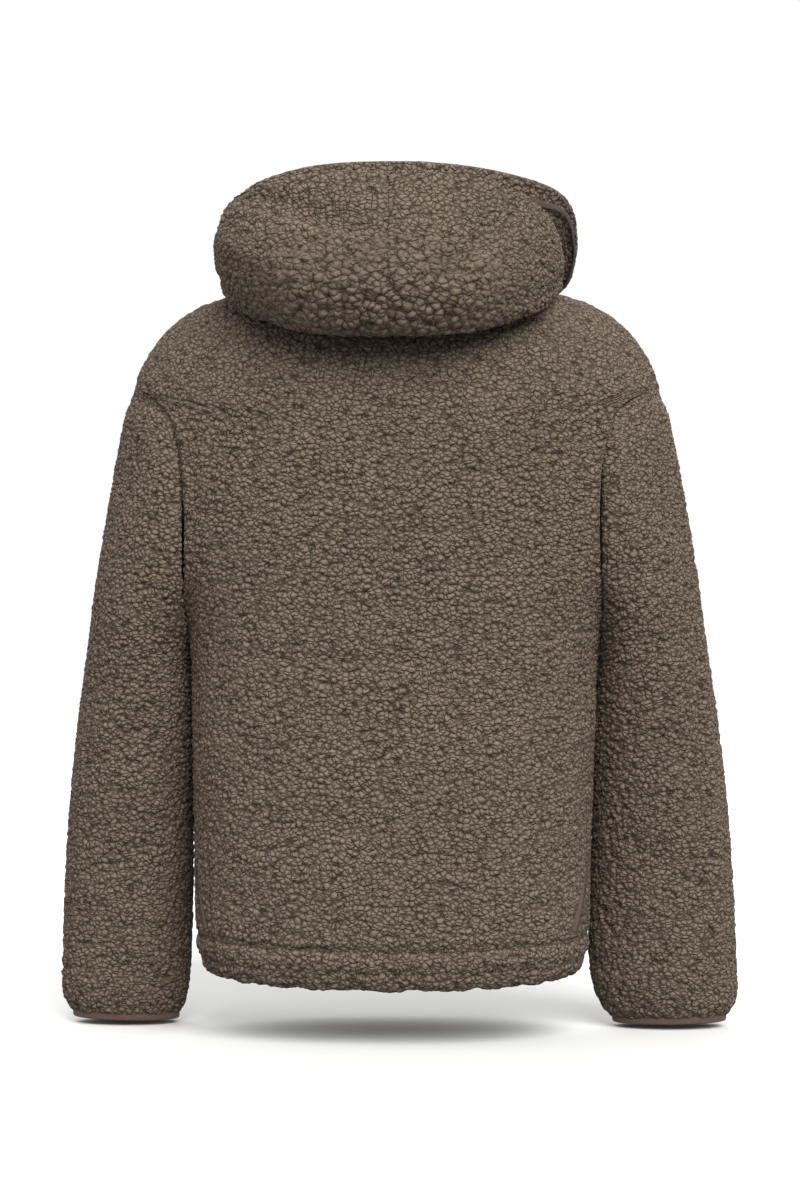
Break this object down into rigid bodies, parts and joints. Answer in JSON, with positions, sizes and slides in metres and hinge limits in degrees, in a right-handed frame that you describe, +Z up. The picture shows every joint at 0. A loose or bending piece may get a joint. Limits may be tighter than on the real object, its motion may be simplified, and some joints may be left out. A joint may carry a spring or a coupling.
{
  "type": "sherpa fleece pullover",
  "caption": "Sherpa fleece hooded pullover in its worn shape, hollow, with the hood down, dropped shoulders, bound cuffs, a stitched hem and slanted side pockets.",
  "frame": {"origin": "middle of the neck opening, level with the shoulders beside the neck, where the wearer holds the garment up", "axes": "+Z up, the garment's front faces -Y and its back +Y, +X is the wearer's left"},
  "size_m": [0.6896, 0.3417, 0.8463],
  "materials": {
    "fleece": "curly sherpa pile, matt",
    "binding": "smooth knitted tape, matt"
  },
  "bodies": {
    "root": {"back": "fleece", "front": "fleece", "sleeve_left": "fleece", "sleeve_right": "fleece", "hood_left": "fleece", "hood_right": "fleece", "hood_tape_left": "binding", "hood_tape_right": "binding", "cuff_binding_left": "binding", "cuff_binding_right": "binding", "pocket_welt_left": "binding", "pocket_welt_right": "binding"}
  },
  "joints": []
}
